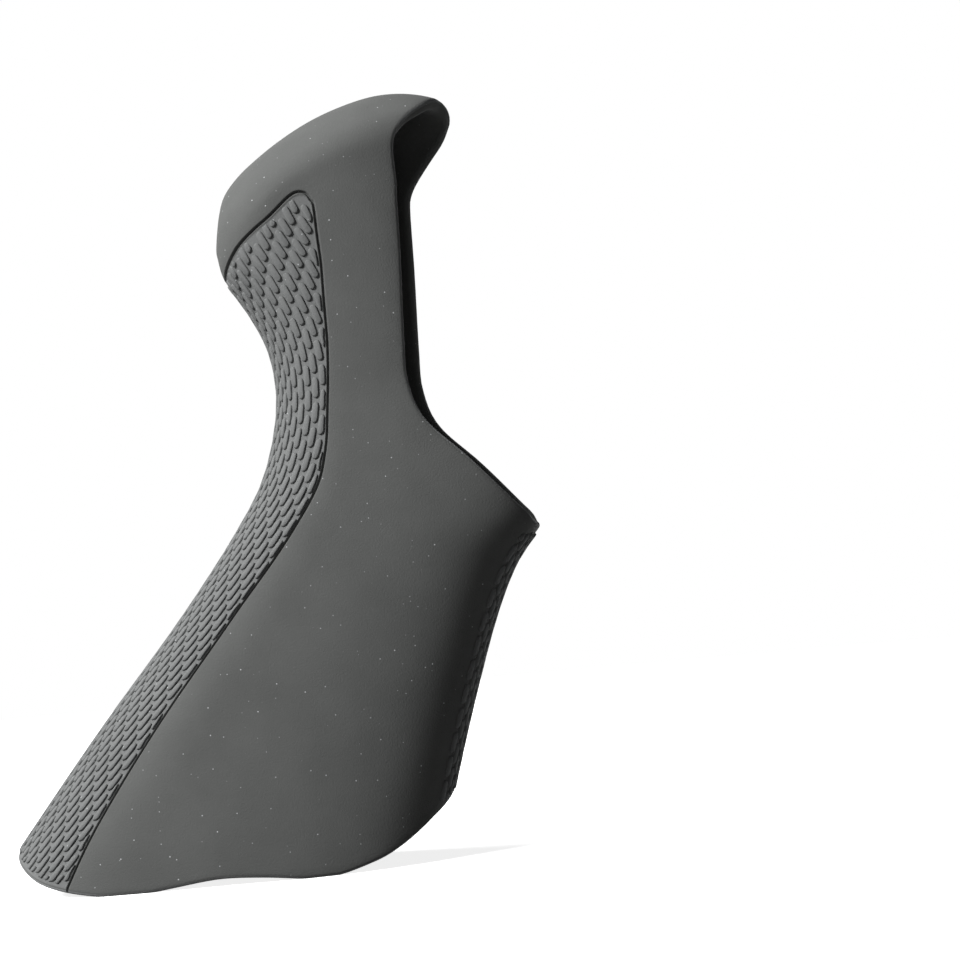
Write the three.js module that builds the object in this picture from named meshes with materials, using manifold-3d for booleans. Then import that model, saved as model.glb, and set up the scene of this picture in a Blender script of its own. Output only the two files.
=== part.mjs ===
// Brake lever hood: the moulded rubber cover of a drop-bar brake lever.
// It is one piece with one wall all round. It stands on the rim that butts
// against the handlebar, with the horn up, the palm side at -X and the side
// that the lever blade comes out of at +X. Millimetres, +Z up.
import * as THREE from "three";
import Module from "manifold-3d";

const wasm = await Module();
wasm.setup();

// Driving dimensions: walls
const wall = 2.0;
const crownWall = 2.2;

// Widths across the hood, at the rim and from the neck up
const rimWidth = 36.8;
const neckWidth = 25.6;
const hornWidth = 24.9;
const neckHeight = 77.5;
const hornHeight = 100.8;
const hornRise = hornHeight - neckHeight;
const widthTaper = 1.5;

// Side view of the palm side and of the lever side, as (x, z) points. The two
// points with the same place in the lists belong to one section of the hood.
// The palm side ends at the crease of the horn, the lever side at the front
// of the crown, and above the slot's tip it is the skin that the slot opens.
const palmLine = [
  [-55.5, -7.5], [-42.7, 8.3], [-29.0, 24.9], [-15.4, 40.4], [-9.3, 47.8],
  [-3.5, 55.4], [1.3, 62.8], [4.1, 70.5], [5.2, neckHeight],
  [4.4, neckHeight + 0.31 * hornRise], [1.4, neckHeight + 0.6 * hornRise],
  [-1.7, neckHeight + 0.82 * hornRise], [-2.8, hornHeight],
];
const leverLine = [
  [22.3, -8.8], [27.0, 7.1], [32.3, 23.8], [38.0, 39.4], [41.8, 46.9],
  [47.6, 54.5], [48.7, 61.9], [43.2, 69.8], [37.4, 78.5], [35.2, 89.6], [35.4, 101.0], [37.4, 111.5],
  [40.9, 119.7],
];

// Depth of the rounded palm half of a section, at the rim and from the neck up
const rimPalmDepth = 24.5;
const neckPalmDepth = 13.2;

// Roundness of a section: 2 is an ellipse, more is squarer
const palmRoundness = 2.2;
const leverRoundness = 2.7;

// Crown of the horn: a low dome on a crease that rises on both flanks
const crownHeight = 12.2;
const creaseRise = 4.9;
const creaseBlend = 0.28;
const crownRoundness = 2.3;

// Middle line of the crown from the palm end to the front, as shares of the
// section's length and of the crown's height
const ridgeLine = [
  [0, 0], [0.035, 0.22], [0.08, 0.48], [0.122, 0.66], [0.175, 0.775], [0.25, 0.87], [0.38, 0.965],
  [0.52, 1], [0.66, 0.95], [0.77, 0.84], [0.87, 0.63], [0.95, 0.34], [1, 0],
];

// Height at which the inner crown starts to keep its own wall
const innerCrownStart = 0.8;

// Slot for the lever blade: its lip seen from the side, as (x, z) points
const slotTip = [46.0, 52.6];
const slotBelow = [51.9, 48.5];
const slotLip = [
  [45.1, 54.3], [42.8, 56.9], [36.6, 64.0], [30.2, 70.7], [28.1, 76.9],
  [28.1, 83.4], [28.7, 97.1], [29.0, 108.1], [30.2, 113.5], [32.7, 118.2], [35.3, 121.4],
];
const slotTop = [38.6, 125.9];
const lipHalfSpan = 11.0;

// The far lip leans forward at the horn as a beak, and the near one back
const farLean = 5.0;
const nearLean = 2.8;
const leanBottom = 108.0;
const leanTop = 119.5;

// Bar-side rim seen from the side, as (x, z) points, with flat feet at z = 0
const rimPalm = [
  [-49.8, 14.0], [-45.8, 9.4], [-44.0, 7.0], [-41.6, 4.9], [-38.2, 2.8], [-34.4, 1.5], [-30.5, 0.6],
];
const footPalm = [-27.0, -19.0];
const rimMiddle = [[-15.0, 0.5], [-8.0, 1.2], [-1.0, 0.8]];
const footLever = [5.0, 11.0];
const rimLever = [
  [14.2, 0.8], [18.2, 2.1], [22.0, 4.2], [25.2, 6.5], [28.0, 9.2], [30.8, 13.2], [33.3, 17.5],
];

// Groove round the palm grip, seen from the side: up the flank, round the
// corner below the crease, and over the palm side at crestHeight
const grooveSide = [
  [-34.2, -1.4], [-27.8, 10.3], [-16.2, 26.2], [-3.6, 41.5], [4.7, 51.2], [11.7, 60.7],
  [13.9, 67.1], [15.0, 75.8], [15.7, hornHeight - 13.5], [15.8, hornHeight - 2.5],
  [15.5, hornHeight + 4.5],
];
const grooveCorner = [
  [15.0, hornHeight + 6.7], [13.8, hornHeight + 7.8], [12.1, hornHeight + 7.1],
];
const grooveTop = [
  [8.2, hornHeight + 4.7], [5.3, hornHeight + 2.6], [2.3, hornHeight + 0.2],
  [-0.2, hornHeight - 2.1], [-1.3, hornHeight - 3.6],
];
const crestHeight = hornHeight - 4.6;
const grooveWidth = 0.5;
const grooveDepth = 0.5;

// Grip of raised lozenges, laid like bricks in columns along the palm side
const gripPitch = 4.1;
const gripColumnWidth = 2.05;
const gripHeight = 0.45;
const gripSink = 0.25;
const gripWaist = 0.22;
const gripMargin = 0.9;
const palmGripColumns = 13;
const underGripColumns = 4;
const underGripTop = 52.0;

// Round recess inside the horn, on the far wall
const recessPlace = [29.6, 115.1];
const recessRadius = 3.3;
const recessDepth = 0.6;

// Puts the origin under the middle of the hood
const originShift = -1.1;

// Fineness of the mesh
const sectionSteps = 90;
const grooveSteps = 46;
const flankColumns = 5;
const innerColumns = 10;
const innerRowLength = 6.0;
const archSegments = 6;
const lipSteps = 8;
const ridgeSteps = 48;
const slotLipPoints = 34;
const palmRimPoints = 20;
const middleRimPoints = 10;
const leverRimPoints = 16;
const recessSides = 16;
const outside = 20.0;
const searchSteps = 30;
const crestStep = 0.001;
const normalStep = 0.2;

const rubber = new THREE.MeshStandardMaterial({ color: 0x4b4c4d, roughness: 0.82, metalness: 0 });

const flat = (points) => points.map(([x, z]) => new THREE.Vector3(x, 0, z));
const palmCurve = new THREE.CatmullRomCurve3(flat(palmLine), false, "centripetal");
const leverCurve = new THREE.CatmullRomCurve3(flat(leverLine), false, "centripetal");
const palmLength = palmCurve.getLength();

// A section of the hood: a plane through one point of each side line
function sectionAt(share, inset) {
  const t = palmCurve.getUtoTmapping(THREE.MathUtils.clamp(share, 0, 1));
  const palm = palmCurve.getPoint(t);
  const lever = leverCurve.getPoint(t);
  const direction = lever.clone().sub(palm).normalize();
  const normal = new THREE.Vector3(-direction.z, 0, direction.x);
  const length = palm.distanceTo(lever);
  const towardsRim = Math.max(1 - palm.z / neckHeight, 0);
  const towardsHorn = THREE.MathUtils.smoothstep(palm.z, neckHeight, hornHeight);
  const neck = neckWidth + (hornWidth - neckWidth) * towardsHorn;
  const width = neck + (rimWidth - neckWidth) * towardsRim ** widthTaper;
  const palmDepth = neckPalmDepth + (rimPalmDepth - neckPalmDepth) * towardsRim;
  const rise = creaseRise * THREE.MathUtils.smoothstep(t, 1 - creaseBlend, 1);
  return { palm, direction, normal, length, halfWidth: width / 2 - inset, palmDepth, rise, inset };
}

// Half the section's outline, from the palm side to the lever side, as
// (along, across) points with their distance round the outline
function halfOutline(section) {
  const outline = [];
  for (let step = 0; step <= sectionSteps; step += 1) {
    const angle = Math.PI * step / sectionSteps;
    const cosine = Math.cos(angle);
    const roundness = cosine > 0 ? palmRoundness : leverRoundness;
    const depth = cosine > 0 ? section.palmDepth : section.length - section.palmDepth;
    const reach = (depth - section.inset) * Math.abs(cosine) ** (2 / roundness);
    const along = section.palmDepth - Math.sign(cosine) * reach;
    const across = section.halfWidth * Math.sin(angle) ** (2 / roundness);
    const last = outline[step - 1];
    const distance = last ? last.distance + Math.hypot(along - last.along, across - last.across) : 0;
    outline.push({ along, across, distance });
  }
  return outline;
}

// The outline's point where key, such as its distance, has a given value
function outlinePoint(outline, key, value) {
  let index = 1;
  while (index < outline.length - 1 && outline[index][key] < value) {
    index += 1;
  }
  const before = outline[index - 1];
  const after = outline[index];
  const share = THREE.MathUtils.clamp((value - before[key]) / (after[key] - before[key]), 0, 1);
  return {
    along: THREE.MathUtils.lerp(before.along, after.along, share),
    across: THREE.MathUtils.lerp(before.across, after.across, share),
    distance: THREE.MathUtils.lerp(before.distance, after.distance, share),
  };
}

function creaseLift(section, along) {
  return section.rise * Math.sin(Math.PI * THREE.MathUtils.clamp(along / section.length, 0, 1));
}

function placeInSection(section, along, across, height) {
  const point = section.palm.clone();
  point.addScaledVector(section.direction, along);
  point.addScaledVector(section.normal, height);
  point.y = across;
  return point;
}

// Skin chart: height is the way up the palm side, distance the way round
// from the palm side, less than 0 on the near flank
function skinPoint(height, distance) {
  const section = sectionAt(height / palmLength, 0);
  const spot = outlinePoint(halfOutline(section), "distance", Math.abs(distance));
  const across = Math.sign(distance) * spot.across;
  return placeInSection(section, spot.along, across, creaseLift(section, spot.along));
}

function skinNormal(height, distance) {
  const round = skinPoint(height, distance + normalStep).sub(skinPoint(height, distance - normalStep));
  const up = skinPoint(height + normalStep, distance).sub(skinPoint(height - normalStep, distance));
  return up.cross(round).normalize();
}

// Chart place of a point of the near flank that is seen from the side
function chartPlace([x, z]) {
  let low = 0;
  let high = 1;
  for (let step = 0; step < searchSteps; step += 1) {
    const middle = (low + high) / 2;
    const section = sectionAt(middle, 0);
    const offset = new THREE.Vector3(x, 0, z).sub(section.palm);
    const above = offset.dot(section.normal) - creaseLift(section, offset.dot(section.direction));
    if (above > 0) {
      low = middle;
    } else {
      high = middle;
    }
  }
  const section = sectionAt(low, 0);
  const along = new THREE.Vector3(x, 0, z).sub(section.palm).dot(section.direction);
  return new THREE.Vector2(low * palmLength, outlinePoint(halfOutline(section), "along", along).distance);
}

function crestPlace(height) {
  let share = 1;
  while (palmCurve.getPointAt(share).z > height) {
    share -= crestStep;
  }
  return new THREE.Vector2(share * palmLength, 0);
}

const grooveLine = new THREE.SplineCurve([
  ...[...grooveSide, ...grooveCorner, ...grooveTop].map(chartPlace),
  crestPlace(crestHeight),
]);
const groovePoints = grooveLine.getPoints(grooveSteps);

function distanceToSegment(place, start, end) {
  const span = end.clone().sub(start);
  const share = THREE.MathUtils.clamp(place.clone().sub(start).dot(span) / span.lengthSq(), 0, 1);
  return place.distanceTo(start.clone().addScaledVector(span, share));
}

// Distance inside the groove, in the chart; below 0 is outside
function insideGroove(height, distance) {
  const place = new THREE.Vector2(height, Math.abs(distance));
  const polygon = [...groovePoints, new THREE.Vector2(groovePoints[0].x, 0)];
  let inside = false;
  let nearest = Infinity;
  for (let index = 0; index < polygon.length; index += 1) {
    const a = polygon[index];
    const b = polygon[(index + 1) % polygon.length];
    if ((a.y > place.y) !== (b.y > place.y)) {
      const crossing = a.x + (b.x - a.x) * (place.y - a.y) / (b.y - a.y);
      if (place.x < crossing) {
        inside = !inside;
      }
    }
    if (index < groovePoints.length - 1) {
      nearest = Math.min(nearest, distanceToSegment(place, a, b));
    }
  }
  return inside ? nearest : -nearest;
}

class Body {
  constructor() {
    this.positions = [];
    this.triangles = [];
  }

  point(vector) {
    this.positions.push(vector.x, vector.y, vector.z);
    return this.positions.length / 3 - 1;
  }

  at(index) {
    return new THREE.Vector3().fromArray(this.positions, 3 * index);
  }

  triangle(a, b, c) {
    if (a !== b && b !== c && c !== a) {
      this.triangles.push(a, b, c);
    }
  }

  solid() {
    return new wasm.Manifold(new wasm.Mesh({
      numProp: 3,
      vertProperties: new Float32Array(this.positions),
      triVerts: new Uint32Array(this.triangles),
    }));
  }
}

// Distances round half an outline at which the mesh has its columns
function outerColumns(total) {
  const distances = [];
  for (let column = 0; column <= palmGripColumns; column += 1) {
    distances.push(column * gripColumnWidth);
  }
  const flankStart = palmGripColumns * gripColumnWidth;
  const flankEnd = total - underGripColumns * gripColumnWidth;
  for (let column = 1; column <= flankColumns; column += 1) {
    distances.push(flankStart + (flankEnd - flankStart) * column / flankColumns);
  }
  for (let column = 1; column <= underGripColumns; column += 1) {
    distances.push(flankEnd + column * gripColumnWidth);
  }
  return distances;
}

function evenColumns(total) {
  return Array.from({ length: innerColumns + 1 }, (_, column) => total * column / innerColumns);
}

// Closed body from below the rim to the top of the crown. Where grip(row,
// column) is true, two cells of the mesh make one raised lozenge.
function hoodBody({ inset, topInset, rows, columnsOf, grip, shape }) {
  const body = new Body();
  const rings = [];
  const sections = [];
  const spots = [];
  for (let row = 0; row <= rows; row += 1) {
    const section = sectionAt(row / rows, inset);
    const outline = halfOutline(section);
    const distances = columnsOf(outline[sectionSteps].distance);
    const half = distances.length - 1;
    const drop = topInset * THREE.MathUtils.smoothstep(row / rows, innerCrownStart, 1);
    const ring = [];
    for (let index = 0; index < 2 * half; index += 1) {
      const column = index <= half ? index : index - 2 * half;
      const shift = shape ? shape.shift(row, column, half) : 0;
      const signed = Math.sign(column) * distances[Math.abs(column)] + shift;
      const side = -Math.sign(signed);
      const spot = outlinePoint(outline, "distance", Math.abs(signed));
      const lift = creaseLift(section, spot.along) - drop;
      const point = placeInSection(section, spot.along, side * spot.across, lift);
      if (shape) {
        point.addScaledVector(skinNormalAt(section, spot, side), -shape.sink(row, rows, column, half));
      }
      ring.push(body.point(point));
    }
    rings.push(ring);
    sections.push(section);
    spots.push(distances.map((distance) => outlinePoint(outline, "distance", distance)));
  }
  const size = rings[0].length;
  for (let row = 0; row < rows; row += 1) {
    for (let index = 0; index < size; index += 1) {
      const column = index < size / 2 ? index : index - size;
      const next = (index + 1) % size;
      const start = (row + column) % 2 === 0 ? row : row - 1;
      if (grip && start >= 0 && start + 2 <= rows && grip(start, column, rows, size / 2)) {
        if (start === row) {
          const pair = rings.slice(row, row + 3);
          lozenge(body, pair.map((ring) => ring[index]), pair.map((ring) => ring[next]));
        }
        continue;
      }
      body.triangle(rings[row][index], rings[row][next], rings[row + 1][next]);
      body.triangle(rings[row][index], rings[row + 1][next], rings[row + 1][index]);
    }
  }
  const bottom = sections[0];
  const floor = body.point(placeInSection(bottom, bottom.length / 2, 0, 0));
  for (let index = 0; index < size; index += 1) {
    body.triangle(rings[0][(index + 1) % size], rings[0][index], floor);
  }
  crown(body, rings[rows], sections[rows], spots[rows], topInset);
  return body.solid();
}

// Normal of a section's outline at one of its points
function skinNormalAt(section, spot, side) {
  const palmHalf = spot.along < section.palmDepth;
  const roundness = palmHalf ? palmRoundness : leverRoundness;
  const depth = palmHalf ? section.palmDepth : section.length - section.palmDepth;
  const along = (spot.along - section.palmDepth) / depth;
  const slope = Math.sign(along) * Math.abs(along) ** (roundness - 1) / depth;
  const normal = section.direction.clone().multiplyScalar(slope);
  normal.y = side * Math.max(spot.across / section.halfWidth, 0) ** (roundness - 1) / section.halfWidth;
  return normal.normalize();
}

// A raised lozenge on the six points of two mesh cells
function lozenge(body, left, right) {
  const corners = [...left, ...right].map((index) => body.at(index));
  const across = corners[4].clone().sub(corners[1]);
  const normal = across.cross(corners[2].clone().sub(corners[0])).normalize();
  const [first, second] = [[0, 1, 3, 4], [1, 2, 4, 5]].map((cell) => {
    const middle = new THREE.Vector3();
    cell.forEach((corner) => middle.addScaledVector(corners[corner], 1 / cell.length));
    return body.point(middle.addScaledVector(normal, gripHeight));
  });
  body.triangle(left[1], left[0], first);
  body.triangle(left[0], right[0], first);
  body.triangle(right[0], right[1], first);
  body.triangle(right[1], right[2], second);
  body.triangle(right[2], left[2], second);
  body.triangle(left[2], left[1], second);
  body.triangle(right[1], second, first);
  body.triangle(left[1], first, second);
}

const ridgePoints = smoothOutline(ridgeLine, ridgeSteps);

function ridgeShare(place) {
  let index = 1;
  while (index < ridgePoints.length - 1 && ridgePoints[index][0] < place) {
    index += 1;
  }
  const [before, after] = ridgePoints.slice(index - 1, index + 1);
  return THREE.MathUtils.mapLinear(place, before[0], after[0], before[1], after[1]);
}

// Arches from the near crease over to the far crease
function crown(body, ring, section, spots, topInset) {
  const arches = spots.map((spot, column) => {
    const near = ring[column];
    const far = ring[(ring.length - column) % ring.length];
    if (near === far) {
      return Array(archSegments + 1).fill(near);
    }
    const crease = creaseLift(section, spot.along);
    const ridge = crownHeight * ridgeShare(spot.along / section.length);
    const arch = [near];
    for (let step = 1; step < archSegments; step += 1) {
      const across = 2 * step / archSegments - 1;
      const height = crease + (ridge - crease) * (1 - Math.abs(across) ** crownRoundness) - topInset;
      arch.push(body.point(placeInSection(section, spot.along, across * spot.across, height)));
    }
    return [...arch, far];
  });
  for (let column = 0; column < arches.length - 1; column += 1) {
    for (let step = 0; step < archSegments; step += 1) {
      const [a, b] = arches[column].slice(step, step + 2);
      const [c, d] = arches[column + 1].slice(step, step + 2);
      body.triangle(a, d, b);
      body.triangle(a, c, d);
    }
  }
}

// The columns of the grip run in zigzags, so that a lozenge is slimmer at its ends
const gripShape = {
  shift(row, column, half) {
    const onPalm = Math.abs(column) < palmGripColumns;
    const onUnderside = Math.abs(column) > half - underGripColumns && Math.abs(column) < half;
    return onPalm || onUnderside ? ((row + column) % 2 === 0 ? 1 : -1) * gripWaist : 0;
  },
  sink(row, rows, column, half) {
    const height = palmLength * row / rows;
    const onUnderside = half - Math.abs(column) < underGripColumns && onUnderGrip(height);
    return onUnderside || insideGroove(height, column * gripColumnWidth) > grooveWidth ? gripSink : 0;
  },
};

function onUnderGrip(height) {
  return palmCurve.getPointAt(Math.min(height / palmLength, 1)).z < underGripTop;
}

function hasGrip(row, column, rows, half) {
  const height = palmLength * (row + 1) / rows;
  if (column >= -palmGripColumns && column < palmGripColumns) {
    return insideGroove(height, (column + 0.5) * gripColumnWidth) > gripMargin;
  }
  const fromUnderside = column >= 0 ? half - column : half + column + 1;
  return fromUnderside <= underGripColumns && onUnderGrip(height);
}

// Slim tube along the groove, half its height above the skin
function grooveCutter() {
  const nearSide = groovePoints.map((place) => [place.x, -place.y]);
  const farSide = groovePoints.slice(0, -1).reverse().map((place) => [place.x, place.y]);
  const places = [...nearSide, ...farSide];
  const points = places.map(([height, distance]) => skinPoint(height, distance));
  const body = new Body();
  const loops = points.map((point, index) => {
    const normal = skinNormal(...places[index]);
    const before = points[Math.max(index - 1, 0)];
    const after = points[Math.min(index + 1, points.length - 1)];
    const side = normal.clone().cross(after.clone().sub(before)).normalize();
    return [[-1, -1], [1, -1], [1, 1], [-1, 1]].map(([across, up]) => {
      const corner = point.clone().addScaledVector(side, across * grooveWidth / 2);
      return body.point(corner.addScaledVector(normal, up * (grooveDepth + (up < 0 ? gripSink : 0))));
    });
  });
  for (let index = 0; index < loops.length - 1; index += 1) {
    for (let corner = 0; corner < 4; corner += 1) {
      const next = (corner + 1) % 4;
      body.triangle(loops[index][corner], loops[index][next], loops[index + 1][next]);
      body.triangle(loops[index][corner], loops[index + 1][next], loops[index + 1][corner]);
    }
  }
  const first = loops[0];
  const last = loops[loops.length - 1];
  body.triangle(first[0], first[2], first[1]);
  body.triangle(first[0], first[3], first[2]);
  body.triangle(last[0], last[1], last[2]);
  body.triangle(last[0], last[2], last[3]);
  return body.solid();
}

// An outline in x and z, extruded evenly to both sides of y = 0
function sideCut(outline, halfSpan, steps) {
  const shape = new THREE.Shape(outline.map(([x, z]) => new THREE.Vector2(x, z)));
  const geometry = new THREE.ExtrudeGeometry(shape, { depth: 2 * halfSpan, steps, bevelEnabled: false });
  geometry.rotateX(Math.PI / 2);
  geometry.translate(0, halfSpan, 0);
  return geometry;
}

function toSolid(geometry) {
  const body = new Body();
  const indexOf = new Map();
  const position = geometry.attributes.position;
  const corners = [];
  for (let corner = 0; corner < position.count; corner += 1) {
    const point = new THREE.Vector3().fromBufferAttribute(position, corner);
    const key = point.toArray().map((value) => value.toFixed(5)).join();
    if (!indexOf.has(key)) {
      indexOf.set(key, body.point(point));
    }
    corners.push(indexOf.get(key));
  }
  const order = geometry.index ? Array.from(geometry.index.array, (corner) => corners[corner]) : corners;
  for (let corner = 0; corner < order.length; corner += 3) {
    body.triangle(order[corner], order[corner + 1], order[corner + 2]);
  }
  return body.solid();
}

function smoothOutline(points, steps) {
  const curve = new THREE.SplineCurve(points.map(([x, z]) => new THREE.Vector2(x, z)));
  return curve.getPoints(steps).map((point) => [point.x, point.y]);
}

function slotCutter() {
  const front = slotTip[0] + outside;
  const lip = smoothOutline([slotTip, ...slotLip], slotLipPoints);
  const outline = [[front, slotBelow[1]], slotBelow, ...lip, slotTop, [front, slotTop[1]]];
  const geometry = sideCut(outline, rimWidth / 2 + outside, lipSteps);
  const position = geometry.attributes.position;
  for (let index = 0; index < position.count; index += 1) {
    const lean = position.getY(index) > 0 ? farLean : nearLean;
    const share = THREE.MathUtils.smoothstep(position.getZ(index), leanBottom, leanTop);
    position.setX(index, position.getX(index) + lean * share * position.getY(index) / lipHalfSpan);
  }
  return toSolid(geometry);
}

function rimCutter() {
  const rim = [
    ...smoothOutline([...rimPalm, [footPalm[0], 0]], palmRimPoints),
    [footPalm[1], 0],
    ...smoothOutline([[footPalm[1], 0], ...rimMiddle, [footLever[0], 0]], middleRimPoints).slice(1),
    ...smoothOutline([[footLever[1], 0], ...rimLever], leverRimPoints),
  ];
  const palmEnd = palmLine[0][0] - outside;
  const leverEnd = rimLever[rimLever.length - 1];
  const bottom = palmLine[0][1] - outside;
  const beyond = leverEnd[0] + outside;
  const round = [[beyond, leverEnd[1]], [beyond, bottom], [palmEnd, bottom], [palmEnd, rimPalm[0][1]]];
  return toSolid(sideCut([...rim, ...round], rimWidth / 2 + outside, 1));
}

function recessCutter() {
  const chart = chartPlace(recessPlace);
  const inward = skinNormal(chart.x, chart.y).negate();
  const floor = skinPoint(chart.x, chart.y).addScaledVector(inward, wall - recessDepth);
  const geometry = new THREE.CylinderGeometry(recessRadius, recessRadius, recessRadius, recessSides);
  geometry.translate(0, recessRadius / 2, 0);
  const turn = new THREE.Quaternion().setFromUnitVectors(new THREE.Vector3(0, 1, 0), inward);
  geometry.applyQuaternion(turn);
  geometry.translate(floor.x, floor.y, floor.z);
  return toSolid(geometry);
}

const outerRows = Math.round(palmLength / (gripPitch / 2));
const innerRows = Math.round(palmLength / innerRowLength);
const skin = hoodBody({
  inset: 0, topInset: 0, rows: outerRows, columnsOf: outerColumns, grip: hasGrip, shape: gripShape,
});
const hollow = hoodBody({ inset: wall, topInset: crownWall, rows: innerRows, columnsOf: evenColumns });

const hood = skin
  .subtract(grooveCutter())
  .subtract(hollow)
  .subtract(recessCutter())
  .subtract(slotCutter())
  .subtract(rimCutter());

const { vertProperties, triVerts } = hood.getMesh();
const geometry = new THREE.BufferGeometry();
geometry.setAttribute("position", new THREE.BufferAttribute(vertProperties, 3));
geometry.setIndex(new THREE.BufferAttribute(triVerts, 1));
geometry.computeVertexNormals();

const mesh = new THREE.Mesh(geometry, rubber);
mesh.name = "hood";
mesh.position.x = originShift;
const group = new THREE.Group();
group.add(mesh);
export default group;
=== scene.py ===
# Brake lever hood, one moulded rubber piece, standing on its bar-side rim.
# The sections follow how it is seen and made: the view, the floor, the light,
# then the hood: its shell, its raised grip and its rubber.
import math

import bpy
import numpy as np
from mathutils import Matrix, Vector
from mathutils.kdtree import KDTree


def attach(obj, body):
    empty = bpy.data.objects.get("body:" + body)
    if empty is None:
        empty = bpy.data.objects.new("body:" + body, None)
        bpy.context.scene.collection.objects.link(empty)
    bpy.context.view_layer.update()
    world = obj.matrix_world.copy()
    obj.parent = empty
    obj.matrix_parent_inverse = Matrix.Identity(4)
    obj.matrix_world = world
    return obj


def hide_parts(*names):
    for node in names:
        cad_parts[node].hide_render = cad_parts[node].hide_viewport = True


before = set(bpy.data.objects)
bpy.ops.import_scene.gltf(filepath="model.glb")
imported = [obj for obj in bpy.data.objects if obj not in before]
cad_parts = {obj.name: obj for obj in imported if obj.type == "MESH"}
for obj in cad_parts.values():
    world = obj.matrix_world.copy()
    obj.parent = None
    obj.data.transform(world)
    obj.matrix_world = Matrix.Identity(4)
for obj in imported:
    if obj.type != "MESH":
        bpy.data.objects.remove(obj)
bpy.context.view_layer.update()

scene = bpy.context.scene

# ---------------------------------------------------------------- the view
# A long lens a little over 40 cm away, level with the middle of the hood.
# It looks at the near flank and a few degrees round towards the lever side.
view_lens = 97.0
view_sensor = 36.0
view_distance = 0.422
view_target = Vector((0.03596, 0.0, 0.06044))
view_azimuth = math.radians(4.465)
view_elevation = math.radians(-2.078)
view_roll = math.radians(5.198)

back = Vector((
    math.sin(view_azimuth) * math.cos(view_elevation),
    -math.cos(view_azimuth) * math.cos(view_elevation),
    math.sin(view_elevation),
))
level = Vector((math.cos(view_azimuth), math.sin(view_azimuth), 0.0))
upright = back.cross(level)
right = math.cos(view_roll) * level - math.sin(view_roll) * upright
up = math.sin(view_roll) * level + math.cos(view_roll) * upright
turn = Matrix((right, up, back)).transposed()

bpy.ops.object.camera_add()
camera = bpy.context.object
camera.name = "camera"
camera.data.lens = view_lens
camera.data.sensor_width = view_sensor
camera.data.clip_start = 0.01
camera.data.clip_end = 20.0
camera.matrix_world = Matrix.Translation(view_target + view_distance * back) @ turn.to_4x4()
scene.camera = camera


# --------------------------------------------------------------- the floor
# Matt white paper that the hood stands on. Its own glow brings it to plain
# white, with the soft shadow of the hood left in it. It throws little light.
def add_node(tree, kind, links=(), **settings):
    """Add a node; settings are its properties, or its sockets by name with _ for a space."""
    node = tree.nodes.new(kind)
    for name, value in settings.items():
        if name in node.bl_rna.properties:
            setattr(node, name, value)
        else:
            node.inputs[name.replace("_", " ")].default_value = value
    for socket, source in links:
        tree.links.new(source, node.inputs[socket])
    return node


def linear(code):
    """sRGB hex code to a linear colour with alpha 1."""
    parts = [int(code[place:place + 2], 16) / 255 for place in (1, 3, 5)]
    parts = [part / 12.92 if part <= 0.04045 else ((part + 0.055) / 1.055) ** 2.4 for part in parts]
    return parts + [1.0]


def shows_background(tree):
    """1 for camera, glossy and transmission rays, which see the plain white."""
    path = add_node(tree, "ShaderNodeLightPath")
    seen = path.outputs["Is Camera Ray"]
    for kind in ("Is Glossy Ray", "Is Transmission Ray"):
        links = [(0, seen), (1, path.outputs[kind])]
        seen = add_node(tree, "ShaderNodeMath", links, operation="MAXIMUM").outputs[0]
    return seen


bpy.ops.object.select_all(action="DESELECT")
bpy.ops.mesh.primitive_plane_add(size=1.4, location=(0.0, 0.0, 0.0))
floor = bpy.context.object
floor.name = "studio_floor"

paper = bpy.data.materials.new("matt white paper")
paper.use_nodes = True
tree = paper.node_tree
tree.nodes.clear()
bounce = add_node(tree, "ShaderNodeBsdfDiffuse", Color=linear("#5c5c5c"))
pale = add_node(tree, "ShaderNodeBsdfDiffuse", Color=linear("#f4f4f4"))
glow = add_node(tree, "ShaderNodeEmission", Color=linear("#ffffff"), Strength=0.84)
shown = add_node(tree, "ShaderNodeAddShader", [(0, pale.outputs[0]), (1, glow.outputs[0])])
mix = add_node(
    tree, "ShaderNodeMixShader",
    [(0, shows_background(tree)), (1, bounce.outputs[0]), (2, shown.outputs[0])],
)
add_node(tree, "ShaderNodeOutputMaterial", [("Surface", mix.outputs[0])])
floor.data.materials.append(paper)


# --------------------------------------------------------------- the light
# A soft lamp from the upper left in front, a weaker one over the palm side
# and a faint one straight in front, in a surround that shows as white and
# hardly lights the shadows.
def add_lamp(name, place, target, size, power):
    """Aim a round lamp, with its size in metres and its power in watts."""
    bpy.ops.object.light_add(type="AREA", location=place)
    lamp = bpy.context.object
    lamp.name = name
    lamp.data.shape = "DISK"
    lamp.data.size = size
    lamp.data.energy = power
    lamp.rotation_euler = (Vector(target) - Vector(place)).to_track_quat("-Z", "Y").to_euler()


add_lamp("key", (-0.62, -0.58, 0.62), (0.0, 0.0, 0.06), 0.34, 19.0)
add_lamp("top", (-0.55, 0.10, 0.86), (0.0, 0.0, 0.06), 0.40, 6.0)
add_lamp("front", (0.10, -1.10, 0.10), (0.0, 0.0, 0.08), 0.30, 0.5)

world = bpy.data.worlds.new("pale surround")
scene.world = world
world.use_nodes = True
tree = world.node_tree
tree.nodes.clear()
dim = add_node(tree, "ShaderNodeBackground", Color=linear("#ffffff"), Strength=0.025)
white = add_node(tree, "ShaderNodeBackground", Color=linear("#ffffff"), Strength=1.0)
mix = add_node(
    tree, "ShaderNodeMixShader",
    [(0, shows_background(tree)), (1, dim.outputs[0]), (2, white.outputs[0])],
)
add_node(tree, "ShaderNodeOutputWorld", [("Surface", mix.outputs[0])])
scene.view_settings.view_transform = "Standard"


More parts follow.
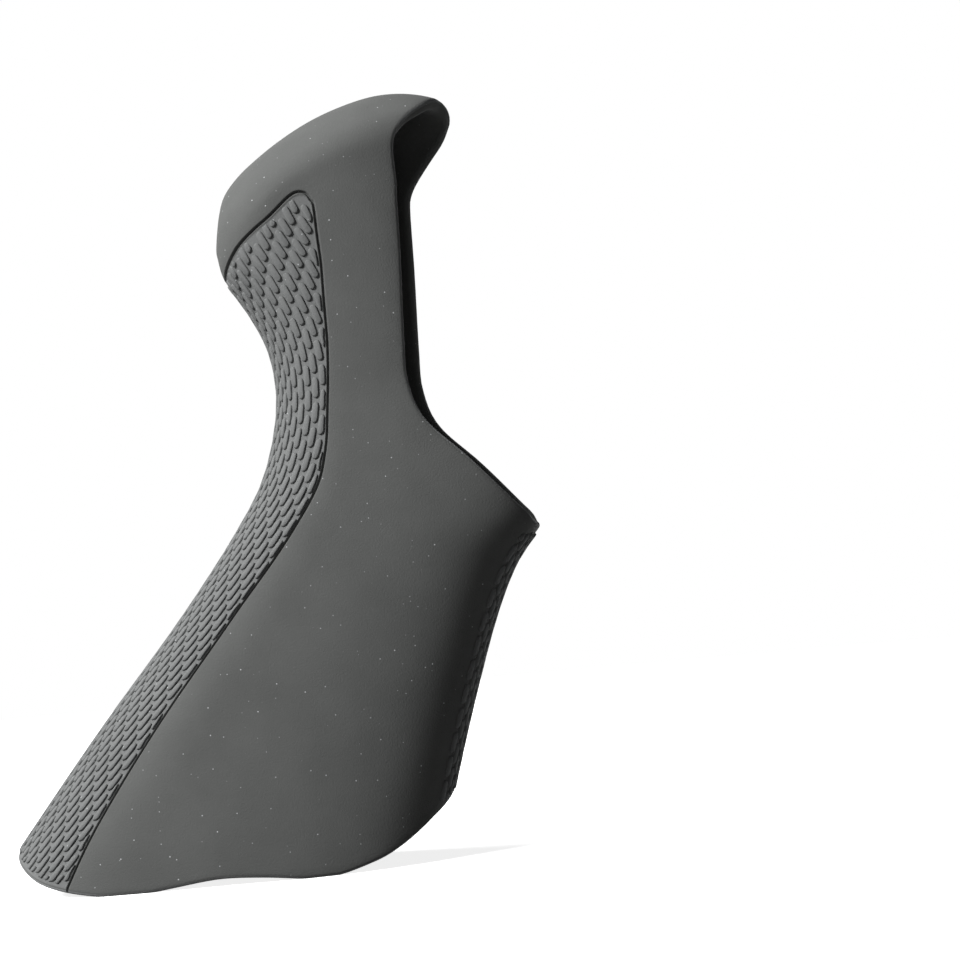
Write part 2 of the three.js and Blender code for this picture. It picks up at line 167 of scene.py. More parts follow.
# ----------------------------------------------------------- the hood shell
# Moulded rubber with one wall of 2 mm all round, which grips the lever body.
# Its skin runs through sections between the palm side and the lever side,
# under a low crown, and its lips and rim are rounded over the wall.
wall = 2.0
lip_round, snap_reach = 0.65, 0.28
side_shift = -1.1

rim_width, neck_width, horn_width = 36.8, 25.6, 24.9
neck_height, horn_height, width_taper = 77.5, 100.8, 1.5
palm_line = [
    (-55.5, -7.5), (-42.7, 8.3), (-29.0, 24.9), (-15.4, 40.4), (-9.3, 47.8), (-3.5, 55.4), (1.3, 62.8),
    (4.1, 70.5), (5.2, 77.5), (4.4, 84.7), (1.4, 91.5), (-1.7, 96.6), (-2.8, 100.8),
]
lever_line = [
    (22.3, -8.8), (27.0, 7.1), (32.3, 23.8), (38.0, 39.4), (41.8, 46.9), (47.6, 54.5), (48.7, 61.9),
    (43.2, 69.8), (37.4, 78.5), (35.2, 89.6), (35.4, 101.0), (37.4, 111.5), (40.9, 119.7),
]
rim_palm_depth, neck_palm_depth = 24.5, 13.2
palm_roundness, lever_roundness = 2.2, 2.7
crown_height = 12.2
ridge_line = [
    (0, 0), (0.035, 0.22), (0.08, 0.48), (0.122, 0.66), (0.175, 0.775), (0.25, 0.87), (0.38, 0.965),
    (0.52, 1), (0.66, 0.95), (0.77, 0.84), (0.87, 0.63), (0.95, 0.34), (1, 0),
]
crease_rise, crease_blend, crown_roundness = 4.9, 0.28, 2.3
crease_softness = 2.6

slot_tip, slot_below, slot_top = (46.0, 52.6), (51.9, 48.5), (38.6, 125.9)
slot_lip = [
    (45.1, 54.3), (42.8, 56.9), (36.6, 64.0), (30.2, 70.7), (28.1, 76.9), (28.1, 83.4), (28.7, 97.1),
    (29.0, 108.1), (30.2, 113.5), (32.7, 118.2), (35.3, 121.4),
]
lip_half_span, far_lean, near_lean, lean_bottom, lean_top = 11.0, 5.0, 2.8, 108.0, 119.5

rim_palm = [(-49.8, 14.0), (-45.8, 9.4), (-44.0, 7.0), (-41.6, 4.9), (-38.2, 2.8), (-34.4, 1.5), (-30.5, 0.6)]
foot_palm, rim_middle, foot_lever = (-27.0, -19.0), [(-15.0, 0.5), (-8.0, 1.2), (-1.0, 0.8)], (5.0, 11.0)
rim_lever = [(14.2, 0.8), (18.2, 2.1), (22.0, 4.2), (25.2, 6.5), (28.0, 9.2), (30.8, 13.2), (33.3, 17.5)]


def curve_through(points, shares):
    """Points on a centripetal curve through the given points."""
    line = np.array(points, float)
    line = np.vstack([2 * line[0] - line[1], line, 2 * line[-1] - line[-2]])
    place = np.asarray(shares, float) * (len(points) - 1)
    index = np.minimum(place.astype(int), len(points) - 2)
    weight = (place - index)[:, None]
    p0, p1, p2, p3 = (line[index + step] for step in range(4))
    span = [np.linalg.norm(b - a, axis=1)[:, None] ** 0.5 for a, b in ((p0, p1), (p1, p2), (p2, p3))]
    start = ((p1 - p0) / span[0] - (p2 - p0) / (span[0] + span[1]) + (p2 - p1) / span[1]) * span[1]
    end = ((p2 - p1) / span[1] - (p3 - p1) / (span[1] + span[2]) + (p3 - p2) / span[2]) * span[1]
    return (
        p1 + weight * start + weight ** 2 * (3 * (p2 - p1) - 2 * start - end)
        + weight ** 3 * (2 * (p1 - p2) + start + end)
    )


def spline_through(points, count):
    """Evenly stepped points on a uniform curve through the given points."""
    line = np.array(points, float)
    line = np.vstack([line[0], line, line[-1]])
    place = np.linspace(0, 1, count + 1) * (len(points) - 1)
    index = np.minimum(place.astype(int), len(points) - 2)
    weight = (place - index)[:, None]
    p0, p1, p2, p3 = (line[index + step] for step in range(4))
    start, end = (p2 - p0) / 2, (p3 - p1) / 2
    return (
        p1 + weight * start + weight ** 2 * (3 * (p2 - p1) - 2 * start - end)
        + weight ** 3 * (2 * (p1 - p2) + start + end)
    )


def smoothstep(value, low, high):
    """0 below low, 1 above high and a soft step between them."""
    share = np.clip((value - low) / (high - low), 0, 1)
    return share * share * (3 - 2 * share)


fine_shares = np.linspace(0, 1, 2001)
fine_palm = curve_through(palm_line, fine_shares)
fine_length = np.concatenate([[0], np.cumsum(np.linalg.norm(np.diff(fine_palm, axis=0), axis=1))])
palm_length = fine_length[-1]


def sections_at(heights):
    """Sections of the skin: a plane through one point of each side line."""
    shares = np.interp(heights, fine_length, fine_shares)
    palm = curve_through(palm_line, shares)
    lever = curve_through(lever_line, shares)
    length = np.linalg.norm(lever - palm, axis=1)
    direction = (lever - palm) / length[:, None]
    to_rim = np.maximum(1 - palm[:, 1] / neck_height, 0)
    neck = neck_width + (horn_width - neck_width) * smoothstep(palm[:, 1], neck_height, horn_height)
    width = neck + (rim_width - neck_width) * to_rim ** width_taper
    depth = neck_palm_depth + (rim_palm_depth - neck_palm_depth) * to_rim
    rise = crease_rise * smoothstep(shares, 1 - crease_blend, 1)
    return palm, direction, length, width / 2, depth, rise


def outlines(heights, steps=360):
    """Half outlines of the sections: points in space and the distance round."""
    palm, direction, length, half_width, depth, rise = sections_at(heights)
    angle = np.linspace(0, math.pi, steps + 1)
    cosine = np.cos(angle)
    roundness = np.where(cosine > 0, palm_roundness, lever_roundness)
    reach = np.where(cosine > 0, depth[:, None], (length - depth)[:, None])
    along = depth[:, None] - np.sign(cosine) * reach * np.abs(cosine) ** (2 / roundness)
    across = half_width[:, None] * np.clip(np.sin(angle), 0, 1) ** (2 / roundness)
    pieces = np.hypot(np.diff(along, axis=1, prepend=0), np.diff(across, axis=1, prepend=0))
    distance = np.cumsum(pieces, axis=1)
    lift = rise[:, None] * np.sin(math.pi * np.clip(along / length[:, None], 0, 1))
    x = palm[:, :1] + direction[:, :1] * along - direction[:, 1:] * lift
    z = palm[:, 1:] + direction[:, 1:] * along + direction[:, :1] * lift
    return np.stack([x, across, z], axis=2), distance, along


# The skin as a grid: rows up the palm side, columns round both flanks. Each
# point has its place, its height up the palm line and its distance round.
row_heights = np.concatenate([np.arange(0, 121, 1.2), np.linspace(121.2, palm_length, 20)])
half_columns = 68
arch_steps = 24
row_points, row_distance, row_along = outlines(row_heights)
column_shares = np.linspace(0, 1, half_columns + 1)
grid = np.empty((len(row_heights), half_columns + 1, 5))
for row in range(len(row_heights)):
    total = row_distance[row, -1]
    for axis in range(3):
        grid[row, :, axis] = np.interp(column_shares * total, row_distance[row], row_points[row, :, axis])
    grid[row, :, 3] = row_heights[row]
    grid[row, :, 4] = column_shares * total

# Near half at -Y with distances below 0, far half at +Y
near, far = grid.copy(), grid[:, 1:-1].copy()
near[:, :, 1] *= -1
near[:, :, 4] *= -1
rings = np.concatenate([near, far[:, ::-1]], axis=1)
ring_size = rings.shape[1]
rows = len(row_heights)
points = rings.reshape(-1, 5)
faces = []
for row in range(rows - 1):
    for column in range(ring_size):
        a = row * ring_size + column
        b = row * ring_size + (column + 1) % ring_size
        c, d = b + ring_size, a + ring_size
        faces += [(a, b, c), (a, c, d)] if (row + column) % 2 else [(a, b, d), (b, c, d)]

# The crown: arches from the near crease over to the far one
palm, direction, length, _, _, rise = (part[-1] for part in sections_at(row_heights[-1:]))
top_along = np.interp(column_shares * row_distance[-1, -1], row_distance[-1], row_along[-1])
top_across = grid[-1, :, 1]
ridge_fine = spline_through(ridge_line, 240)
sweep = np.linspace(-1, 1, arch_steps + 1)
sweep = 0.5 * sweep + 0.5 * np.sin(sweep * math.pi / 2)
top = (rows - 1) * ring_size
past_the_skin = (palm_length + 5, 99.0)
arches = [[top] * (arch_steps + 1)]
crown_points = []
for column in range(1, half_columns):
    along, across = top_along[column], top_across[column]
    crease = rise * math.sin(math.pi * along / length)
    ridge = crown_height * np.interp(along / length, ridge_fine[:, 0], ridge_fine[:, 1])
    arch = [top + column]
    for share in sweep[1:-1]:
        height = crease + (ridge - crease) * (1 - abs(share) ** crown_roundness)
        crown_points.append((
            palm[0] + direction[0] * along - direction[1] * height, across * share,
            palm[1] + direction[1] * along + direction[0] * height, *past_the_skin,
        ))
        arch.append(len(points) + len(crown_points) - 1)
    arches.append(arch + [top + (ring_size - column) % ring_size])
arches.append([top + half_columns] * (arch_steps + 1))
for column in range(half_columns):
    for step in range(arch_steps):
        a, b = arches[column][step], arches[column][step + 1]
        c, d = arches[column + 1][step], arches[column + 1][step + 1]
        faces += [(a, d, b), (a, c, d)]
points = np.vstack([points, crown_points])
faces = np.array(faces)
faces = faces[(faces[:, 0] != faces[:, 1]) & (faces[:, 1] != faces[:, 2]) & (faces[:, 2] != faces[:, 0])]


def edge_keys(triangles):
    """Edges of the triangles, low point first, and how many faces each has."""
    edges = np.vstack([triangles[:, [0, 1]], triangles[:, [1, 2]], triangles[:, [2, 0]]])
    return np.unique(np.sort(edges, axis=1), axis=0, return_counts=True)


def relax(places, triangles, weight, times):
    """Pull each point towards the middle of its neighbours."""
    edges, _ = edge_keys(triangles)
    count = np.bincount(edges.ravel(), minlength=len(places))[:, None]
    for _ in range(times):
        total = np.zeros_like(places)
        np.add.at(total, edges[:, 0], places[edges[:, 1]])
        np.add.at(total, edges[:, 1], places[edges[:, 0]])
        places = places + weight[:, None] * (total / np.maximum(count, 1) - places)
    return places


def point_normals(places, triangles):
    """Normals at the points, from the faces round each."""
    a, b, c = (places[triangles[:, corner]] for corner in range(3))
    normal = np.cross(b - a, c - a)
    total = np.zeros_like(places)
    for corner in range(3):
        np.add.at(total, triangles[:, corner], normal)
    return total / np.maximum(np.linalg.norm(total, axis=1), 1e-12)[:, None]


def distance_to_line(places, line):
    """Distance in space from each place to the nearest point of a line."""
    tree = KDTree(len(line))
    for index, place in enumerate(line):
        tree.insert(place, index)
    tree.balance()
    return np.array([tree.find(place)[2] for place in places])


# The crease is a soft edge, not a sharp one
crease_pull, crease_passes, crease_reach = 0.6, 14, 8
crease_line = points[top:top + ring_size, :3]
steps = np.linspace(0, 1, 8, endpoint=False)[:, None, None]
crease_line = (crease_line * (1 - steps) + np.roll(crease_line, -1, axis=0) * steps).reshape(-1, 3)
near_top = points[:, 3] > palm_length - crease_reach
weight = np.zeros(len(points))
from_crease = distance_to_line(points[near_top, :3], crease_line)
weight[near_top] = crease_pull * np.clip(1 - from_crease / crease_softness, 0, 1)
points[:, :3] = relax(points[:, :3], faces, weight, crease_passes)
points = np.hstack([points, point_normals(points[:, :3], faces)])


# Slot and rim: the skin ends where it meets their outlines in the side view
slot_outline = np.array([
    (slot_tip[0] + 20, slot_below[1]), slot_below, *spline_through([slot_tip, *slot_lip], 60),
    slot_top, (slot_tip[0] + 20, slot_top[1]),
])
rim_outline = np.array([
    *spline_through([*rim_palm, (foot_palm[0], 0)], 40), (foot_palm[1], 0),
    *spline_through([(foot_palm[1], 0), *rim_middle, (foot_lever[0], 0)], 40)[1:],
    *spline_through([(foot_lever[1], 0), *rim_lever], 40),
    (60.0, 17.5), (60.0, -30.0), (-80.0, -30.0), (-80.0, 14.0),
])


def outside_of(outline, x, z):
    """Distance from a closed outline in the side view, below 0 inside it."""
    inside = np.zeros(len(x), bool)
    nearest = np.full(len(x), np.inf)
    for a, b in zip(outline, np.roll(outline, -1, axis=0)):
        span = b - a
        if not span.any():
            continue
        share = np.clip(((x - a[0]) * span[0] + (z - a[1]) * span[1]) / (span @ span), 0, 1)
        nearest = np.minimum(nearest, np.hypot(x - a[0] - share * span[0], z - a[1] - share * span[1]))
        crosses = (a[1] > z) != (b[1] > z)
        with np.errstate(divide="ignore", invalid="ignore"):
            inside ^= crosses & (x < a[0] + span[0] * (z - a[1]) / span[1])
    return np.where(inside, -nearest, nearest)


def material_left(places):
    """Distance to the nearest lip, below 0 in the slot or under the rim."""
    lean = np.where(places[:, 1] > 0, far_lean, near_lean) * places[:, 1] / lip_half_span
    lean = lean * smoothstep(places[:, 2], lean_bottom, lean_top)
    slot = outside_of(slot_outline, places[:, 0] - lean, places[:, 2])
    return np.minimum(slot, outside_of(rim_outline, places[:, 0], places[:, 2]))


def towards_lip(places, normals):
    """Direction in the skin in which the lip comes nearer fastest, and how fast."""
    slope = np.empty_like(places)
    probe, slowest = 0.02, 0.3
    for axis in range(3):
        offset = np.zeros(3)
        offset[axis] = probe
        slope[:, axis] = (material_left(places + offset) - material_left(places - offset)) / (2 * probe)
    slope -= (slope * normals).sum(1, keepdims=True) * normals
    size = np.maximum(np.linalg.norm(slope, axis=1, keepdims=True), slowest)
    return -slope / size, size[:, 0]


def clip(rows, triangles, margin):
    """Cut the sheet where less than the margin is left before the lip."""
    left = material_left(rows[:, :3]) - margin
    close = np.abs(left) < snap_reach
    heading, speed = towards_lip(rows[close, :3], rows[close, 5:8])
    rows = rows.copy()
    rows[close, :3] += heading * (left[close] / speed)[:, None]
    left[close] = 0
    rows = list(rows)
    cuts = {}
    kept = []

    def cut(a, b):
        key = (min(a, b), max(a, b))
        if key not in cuts:
            share = left[a] / (left[a] - left[b])
            cuts[key] = len(rows)
            rows.append(rows[a] * (1 - share) + rows[b] * share)
        return cuts[key]

    for face in triangles:
        signs = np.sign(left[face])
        if signs.min() >= 0:
            if signs.max() > 0:
                kept.append(tuple(face))
            continue
        if signs.max() <= 0:
            continue
        ring = []
        for corner in range(3):
            a, b = face[corner], face[(corner + 1) % 3]
            if left[a] >= 0:
                ring.append(a)
            if left[a] * left[b] < 0:
                ring.append(cut(a, b))
        kept += [(ring[0], ring[index], ring[index + 1]) for index in range(1, len(ring) - 1)]
    kept = np.array(kept)
    used = np.unique(kept)
    place = np.zeros(len(rows), int)
    place[used] = np.arange(len(used))
    return np.array(rows)[used], place[kept]


def halve(rows, triangles, picked):
    """Split the picked edges in the middle, and the faces with them."""
    middles = {}
    added = []
    for a, b in picked:
        middles[(a, b)] = len(rows) + len(added)
        added.append((rows[a] + rows[b]) / 2)
    result = []
    for a, b, c in triangles.tolist():
        ab = middles.get((min(a, b), max(a, b)))
        bc = middles.get((min(b, c), max(b, c)))
        ca = middles.get((min(c, a), max(c, a)))
        count = (ab is not None) + (bc is not None) + (ca is not None)
        if count == 0:
            result.append((a, b, c))
            continue
        if count == 3:
            result += [(a, ab, ca), (ab, b, bc), (ca, bc, c), (ab, bc, ca)]
            continue
        while ab is None or (count == 2 and ca is not None and bc is None):
            a, b, c, ab, bc, ca = b, c, a, bc, ca, ab
        if count == 1:
            result += [(a, ab, c), (ab, b, c)]
        else:
            result += [(ab, b, bc), (a, ab, c), (ab, bc, c)]
    rows = np.vstack([rows, added]) if added else rows
    lengths = np.maximum(np.linalg.norm(rows[:, 5:8], axis=1, keepdims=True), 1e-9)
    rows[:, 5:8] /= lengths
    return rows, np.array(result)


sheet, sheet_faces = clip(points, faces, lip_round)

# ------------------------------------------------------------- the grip
# A groove runs round the palm grip, and inside it the rubber is sunk a
# little and carries raised pills in columns, laid like bricks. The same
# pills cover the underside of the lever side below the slot.
groove_side = [
    (-34.2, -1.4), (-27.8, 10.3), (-16.2, 26.2), (-3.6, 41.5), (4.7, 51.2), (11.7, 60.7), (13.9, 67.1),
    (15.0, 75.8), (15.7, 87.3), (15.8, 98.3), (15.5, 105.3), (15.0, 107.5), (13.8, 108.6), (12.1, 107.9),
    (8.2, 105.5), (5.3, 103.4), (2.3, 101.0), (-0.2, 98.7), (-1.3, 97.2),
]
crest_height = 96.2
groove_width, groove_depth, grip_sink = 0.38, 0.6, 0.2
groove_far_off, groove_steepness = 4.0, 2.4

# The skin unrolled: its place for every height and distance round
height_step, distance_step, grip_steps = 0.5, 0.25, 160
map_heights = np.arange(0, palm_length, height_step)
map_points, map_distance, _ = outlines(map_heights, 720)
map_steps = np.arange(0, 100, distance_step)
skin_map = np.empty((len(map_heights), len(map_steps), 3))
for row in range(len(map_heights)):
    for axis in range(3):
        skin_map[row, :, axis] = np.interp(map_steps, map_distance[row], map_points[row, :, axis])


def read_map(table, heights, distances):
    """What a map of the unrolled skin says between its rows and columns."""
    u = np.clip(heights / height_step, 0, table.shape[0] - 1.001)
    v = np.clip(np.abs(distances) / distance_step, 0, table.shape[1] - 1.001)
    row, column = u.astype(int), v.astype(int)
    u, v = u - row, v - column
    if table.ndim == 3:
        u, v = u[:, None], v[:, None]
    return (
        (1 - u) * (1 - v) * table[row, column] + u * (1 - v) * table[row + 1, column]
        + (1 - u) * v * table[row, column + 1] + u * v * table[row + 1, column + 1]
    )


def skin_place(heights, distances):
    """Places on the skin; distances below 0 are on the near flank."""
    place = read_map(skin_map, heights, distances)
    place[:, 1] *= np.where(distances < 0, -1, 1)
    return place


def chart_place(x, z):
    """Height and distance of the skin's point that shows at x and z from the side."""
    side = skin_map[:, :, [0, 2]]
    gap = np.hypot(side[:, :, 0] - x, side[:, :, 1] - z)
    total = map_distance[:, -1]
    gap[map_steps[None, :] > total[:, None]] = np.inf
    row, column = np.unravel_index(gap.argmin(), gap.shape)
    return map_heights[row], map_steps[column]


crest_share = np.interp(crest_height, fine_palm[1400:2000, 1], fine_length[1400:2000])
groove_chart = [*(chart_place(x, z) for x, z in groove_side), (crest_share, 0.0)]
groove_chart = spline_through(groove_chart, 400)
groove_near = skin_place(groove_chart[:, 0], -np.maximum(groove_chart[:, 1], 1e-6))
groove_far = groove_near * (1, -1, 1)
steps = np.linspace(0, 1, 6, endpoint=False)[:, None, None]
groove_dense = np.concatenate([
    (line[:-1] * (1 - steps) + line[1:] * steps).reshape(-1, 3) for line in (groove_near, groove_far)
])
grip_outline = np.vstack([groove_chart, groove_chart[::-1] * (1, -1)])
map_inside = -outside_of(
    grip_outline[:, ::-1], np.tile(map_steps[:grip_steps], len(map_heights)),
    np.repeat(map_heights, grip_steps),
).reshape(len(map_heights), grip_steps)


def inside_grip(heights, distances):
    """Distance inside the groove in the unrolled skin, below 0 outside it."""
    return read_map(map_inside, heights, distances)


def groove_gap(rows, reach):
    """Distance to the groove's middle line for rows near it, else reach."""
    gap = np.full(len(rows), float(reach))
    chart = np.abs(inside_grip(rows[:, 3], rows[:, 4]))
    close = (chart < reach * 2) & (rows[:, 3] < palm_length)
    gap[close] = distance_to_line(rows[close, :3], groove_dense)
    return np.minimum(gap, reach)


def middles_of(rows, edges):
    """Rounded middles of edges, by which both sheets know the same edge."""
    return [tuple(np.round(rows[[a, b], :3].sum(axis=0), 5)) for a, b in edges]


# Finer faces along the groove; the inner sheet follows only at the lips
outer, outer_faces = sheet.copy(), sheet_faces
inner, inner_faces = sheet.copy(), sheet_faces
for reach in (2.0, 1.0, 0.55, 0.32):
    gap = groove_gap(outer, groove_far_off)
    picked, _ = edge_keys(outer_faces[gap[outer_faces].min(axis=1) < reach])
    picked = [tuple(edge) for edge in picked.tolist()]
    edges, counts = edge_keys(outer_faces)
    at_lip = {tuple(edge) for edge in edges[counts == 1].tolist()}
    lip_middles = set(middles_of(outer, [edge for edge in picked if edge in at_lip]))
    outer, outer_faces = halve(outer, outer_faces, picked)
    edges, counts = edge_keys(inner_faces)
    edges = edges[counts == 1].tolist()
    inner_picked = [
        tuple(edge) for edge, middle in zip(edges, middles_of(inner, edges)) if middle in lip_middles
    ]
    inner, inner_faces = halve(inner, inner_faces, inner_picked)

# Groove pressed in, and the grip's ground a little below the flank
gap = groove_gap(outer, groove_far_off)
inside = inside_grip(outer[:, 3], outer[:, 4])
on_skin = outer[:, 3] < palm_length
depth = groove_depth * np.exp(-(gap / (0.5 * groove_width)) ** groove_steepness)
sink = grip_sink * smoothstep(inside, 0.0, 0.5) * on_skin
outer_places = outer[:, :3] - (depth + sink)[:, None] * outer[:, 5:8]

# The inner face: one wall further in, relaxed where the crease folds it
inner_pull, inner_passes, fold_reach = 0.5, 10, 14
edges, counts = edge_keys(inner_faces)
inner_lip = np.unique(edges[counts == 1])
weight = np.zeros(len(inner))
weight[inner[:, 3] > palm_length - fold_reach] = inner_pull
weight[inner_lip] = 0
inner_normals = relax(inner[:, 5:8], inner_faces, weight, inner_passes)
inner_normals /= np.linalg.norm(inner_normals, axis=1, keepdims=True)
inner_places = inner[:, :3] - wall * inner_normals
inner_places = relax(inner_places, inner_faces, weight, inner_passes)

# The lips: a quarter round off the skin, the wall, a quarter round inwards
edges, counts = edge_keys(outer_faces)
lip_edges = {tuple(edge) for edge in edges[counts == 1].tolist()}
directed = [
    (a, b) for face in outer_faces.tolist() for a, b in zip(face, face[1:] + face[:1])
    if (min(a, b), max(a, b)) in lip_edges
]
lip_ids = sorted({point for edge in directed for point in edge})
lip_rows = outer[lip_ids]
heading, _ = towards_lip(lip_rows[:, :3], lip_rows[:, 5:8])
inner_of = {tuple(np.round(inner[point, :3], 4)): point for point in inner_lip}
turns = np.linspace(0, math.pi / 2, 5)
profile = [(lip_round * math.sin(t), lip_round * (1 - math.cos(t))) for t in turns[1:]]
profile += [(lip_round * math.cos(t), wall - lip_round + lip_round * math.sin(t)) for t in turns[:-1]]
outer_lip_places = outer_places[lip_ids]
inner_lip_ids = [inner_of[tuple(np.round(row[:3], 4))] for row in lip_rows]
shell_places = [outer_places, inner_places]
base = len(outer_places) + len(inner_places)
layers = [np.array(lip_ids)]
for out, down in profile:
    share = down / wall
    start = outer_lip_places * (1 - share) + inner_places[inner_lip_ids] * share
    shell_places.append(start + out * heading)
    layers.append(base + np.arange(len(lip_ids)))
    base += len(lip_ids)
layers.append(len(outer_places) + np.array(inner_lip_ids))
place_in_lip = {point: index for index, point in enumerate(lip_ids)}
strip = []
for a, b in directed:
    a, b = place_in_lip[a], place_in_lip[b]
    for low, high in zip(layers[:-1], layers[1:]):
        strip.append((low[b], low[a], high[a]))
        strip.append((low[b], high[a], high[b]))
shell_faces = np.vstack([outer_faces, inner_faces[:, ::-1] + len(outer_places), strip])
shell_places = np.vstack(shell_places)
shell_places[:, 0] += side_shift


def add_mesh(name, places, faces):
    """A smooth piece in metres at the origin from places in millimetres."""
    mesh = bpy.data.meshes.new(name)
    polygons = [tuple(int(corner) for corner in face) for face in faces]
    mesh.from_pydata((places / 1000).tolist(), [], polygons)
    mesh.update()
    piece = bpy.data.objects.new(name, mesh)
    scene.collection.objects.link(piece)
    bpy.ops.object.select_all(action="DESELECT")
    bpy.context.view_layer.objects.active = piece
    piece.select_set(True)
    bpy.ops.object.shade_smooth()
    return piece


hood = add_mesh("hood_shell", shell_places, shell_faces)

# Painted light: the grip is painted a little paler where the light falls on the palm side, and the outer edge
# of the lips paler still as a painted highlight
grip_painted_light, lip_painted_highlight = 0.1, 0.3
painted_light_amount = np.zeros(len(shell_places))
painted_light_amount[:len(outer)] = grip_painted_light * smoothstep(inside, 0.2, 0.5) * on_skin
painted_light_amount[np.concatenate(layers[2:4])] = lip_painted_highlight
hood.data.attributes.new("painted_light", "FLOAT", "POINT").data.foreach_set("value", painted_light_amount)

# Pills: one footprint, drawn in where the groove, rim or grip's end is near.
# Each level of a pill is drawn in by the first figure, at the second's height.
pill_pitch, pill_column = 3.98, 1.4
pill_length, pill_width = 3.4, 1.12
pill_levels = [(0.0, -0.12), (0.02, 0.14), (0.1, 0.29), (0.26, 0.35)]
groove_margin, lip_margin, least_free = 0.45, 0.9, 0.3
palm_columns, under_columns, under_top = 19, 5, 52.0
brick_level = 60.0

bend = np.radians([-90, -45, 0, 45, 90])
end_x = (pill_length - pill_width) / 2 + np.cos(bend) * pill_width / 2
end_y = np.sin(bend) * pill_width / 2
footprint = np.stack([end_x, end_y], axis=1)
footprint = np.vstack([footprint, -footprint])
samples = np.meshgrid(np.linspace(-0.5, 0.5, 11) * pill_length, np.linspace(-0.5, 0.5, 5) * pill_width)
samples = np.stack(samples, axis=-1).reshape(-1, 2)
around = len(footprint)
column_heights = np.arange(0, palm_length - 1, 0.25)
column_total = np.interp(column_heights, map_heights, map_distance[:, -1])


def on_column(flat):
    """Heights, distances and places of points given along and across the column."""
    heights = np.interp(flat[..., 0], run, column_heights)
    distances = np.interp(heights, column_heights, centre_line) + side * flat[..., 1]
    places = skin_place(heights.ravel(), distances.ravel())
    return heights, distances, places.reshape(*heights.shape, 3)


def room(flat):
    """Distance left to the nearest thing that ends the grip."""
    heights, distances, places = on_column(flat)
    left = material_left(places.reshape(-1, 3)).reshape(heights.shape) - lip_margin
    if under:
        return np.minimum(left, under_top - np.interp(heights, fine_length, fine_palm[:, 1]))
    inside = inside_grip(heights.ravel(), distances.ravel()).reshape(heights.shape)
    return np.minimum(left, inside - groove_margin)


def outward(heights, distances):
    """Normals of the skin, from its slopes up and round."""
    step = 0.3
    ahead = skin_place(heights + step, distances) - skin_place(heights - step, distances)
    aside = skin_place(heights, distances + step) - skin_place(heights, distances - step)
    normal = np.cross(ahead, aside)
    return normal / np.maximum(np.linalg.norm(normal, axis=1, keepdims=True), 1e-9)


pill_points, pill_faces = [], []
for column in range(-palm_columns, palm_columns + 2 * under_columns + 1):
    under = column > palm_columns
    if under:
        offset = (column - palm_columns - 0.5 - under_columns) * pill_column
        side = np.sign(offset)
        centre_line = side * (column_total - abs(offset))
    else:
        side, centre_line = 1.0, np.full(len(column_heights), column * pill_column + 1e-7)
    line = skin_place(column_heights, centre_line)
    run = np.concatenate([[0], np.cumsum(np.linalg.norm(np.diff(line, axis=0), axis=1))])

    # Bricks: every other column starts half a pitch on
    phase = np.interp(brick_level, column_heights, run) % pill_pitch + (column % 2) * pill_pitch / 2
    centres = np.arange(phase - pill_pitch, run[-1], pill_pitch)
    middle = np.stack([centres, np.zeros(len(centres))], axis=1)
    spread = middle[:, None] + samples
    free = room(spread) > 0
    middle, spread, free = (part[free.mean(axis=1) > least_free] for part in (middle, spread, free))
    if not len(middle):
        continue

    # A pill with too little room grows from the middle of the free part
    hub = (spread * free[..., None]).sum(axis=1) / free.sum(axis=1)[:, None]
    hub = np.where(free.all(axis=1)[:, None], middle, hub)
    spokes = middle[:, None] + footprint - hub[:, None]
    reaches = np.linspace(0, 1, 15)[1:]
    along_spokes = hub[:, None, None] + spokes[:, :, None] * reaches[:, None]
    open_steps = np.cumprod(room(along_spokes) > 0, axis=2).sum(axis=2)
    spokes = spokes * (open_steps / len(reaches))[..., None]
    size = np.maximum(np.linalg.norm(spokes, axis=2, keepdims=True), 1e-6)
    ground = 0.0 if under else grip_sink
    levels = []
    for inset, height in pill_levels:
        heights, distances, places = on_column(hub[:, None] + spokes * np.maximum(1 - inset / size, 0.05))
        normal = outward(heights.ravel(), distances.ravel()).reshape(places.shape)
        levels.append(places + (height - ground) * normal)
    start = sum(len(part) for part in pill_points)
    pill_points.append(np.stack(levels, axis=1).reshape(-1, 3))
    for pill in range(len(hub)):
        base = start + pill * around * len(pill_levels)
        rings = [
            [base + level * around + step for step in range(around)] for level in range(len(pill_levels))
        ]
        polygons = [tuple(rings[0][::-1]), tuple(rings[-1])]
        for low, high in zip(rings[:-1], rings[1:]):
            for step in range(around):
                after = (step + 1) % around
                polygons.append((low[step], low[after], high[after], high[step]))
        pill_faces += polygons if side > 0 else [polygon[::-1] for polygon in polygons]
pill_points = np.vstack(pill_points)
pill_points[:, 0] += side_shift
pills = add_mesh("grip_pills", pill_points, pill_faces)
# The pills carry the grip's painted light as well
painted_light_amount = np.full(len(pill_points), grip_painted_light)
pills.data.attributes.new("painted_light", "FLOAT", "POINT").data.foreach_set("value", painted_light_amount)

# ------------------------------------------------------------- the rubber
# Black synthetic rubber as it leaves the mould: matt and a little greyed,
# with a fine grain, faint cloudiness and white dust caught on it.
rubber = bpy.data.materials.new("moulded black rubber")
rubber.use_nodes = True
tree = rubber.node_tree
tree.nodes.clear()
solid = add_node(tree, "ShaderNodeTexCoord").outputs["Object"]

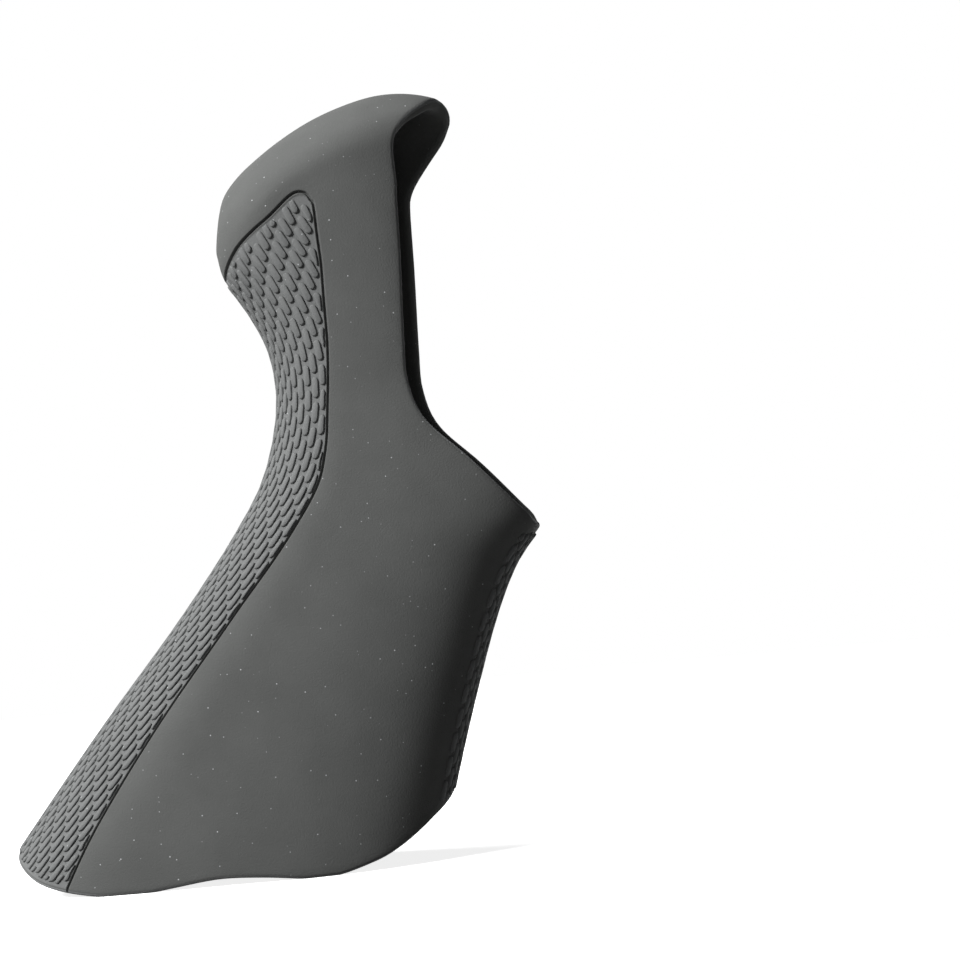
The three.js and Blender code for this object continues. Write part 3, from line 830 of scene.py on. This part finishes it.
# Faint clouds about 1 cm across in the grey
cloud = add_node(tree, "ShaderNodeTexNoise", [("Vector", solid)], Scale=90.0, Detail=4.0, Roughness=0.6)
tone = add_node(tree, "ShaderNodeValToRGB", [(0, cloud.outputs[0])])
for stop, position, code in zip(tone.color_ramp.elements, (0.35, 0.68), ("#535453", "#585958")):
    stop.position, stop.color = position, linear(code)

# Dust: a speck up to a quarter of a millimetre across in some of the cells
cells = add_node(tree, "ShaderNodeTexVoronoi", [("Vector", solid)], Scale=900.0)
speck = add_node(
    tree, "ShaderNodeMapRange", [(0, cells.outputs["Distance"])],
    From_Min=0.12, From_Max=0.05, To_Min=0.0, To_Max=1.0,
)
few = add_node(tree, "ShaderNodeSeparateColor", [(0, cells.outputs["Color"])])
few = add_node(
    tree, "ShaderNodeMapRange", [(0, few.outputs[0])],
    From_Min=0.55, From_Max=1.0, To_Min=0.0, To_Max=0.9,
)
dust = add_node(tree, "ShaderNodeMath", [(0, speck.outputs[0]), (1, few.outputs[0])], operation="MULTIPLY")
# Painted light: the grip and the lips' outer edges are painted paler, mixed in with the dust
painted_light = add_node(tree, "ShaderNodeAttribute", attribute_name="painted_light")
paler = add_node(tree, "ShaderNodeMath", [(0, dust.outputs[0]), (1, painted_light.outputs["Fac"])], operation="MAXIMUM")
colour = add_node(
    tree, "ShaderNodeMixRGB", [(0, paler.outputs[0]), (1, tone.outputs[0])], Color2=linear("#c4c6c8"),
)

# The mould's fine grain, about a quarter of a millimetre
grain = add_node(tree, "ShaderNodeTexNoise", [("Vector", solid)], Scale=3600.0, Detail=2.0, Roughness=0.6)
relief = add_node(tree, "ShaderNodeBump", [("Height", grain.outputs[0])], Strength=0.6, Distance=0.0001)
skin = add_node(
    tree, "ShaderNodeBsdfPrincipled", [("Base Color", colour.outputs[0]), ("Normal", relief.outputs[0])],
    Roughness=0.7, IOR=1.5, Specular_IOR_Level=0.04,
)
add_node(tree, "ShaderNodeOutputMaterial", [("Surface", skin.outputs[0])])
for piece in (hood, pills):
    piece.data.materials.append(rubber)
    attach(piece, "root")
    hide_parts("hood")
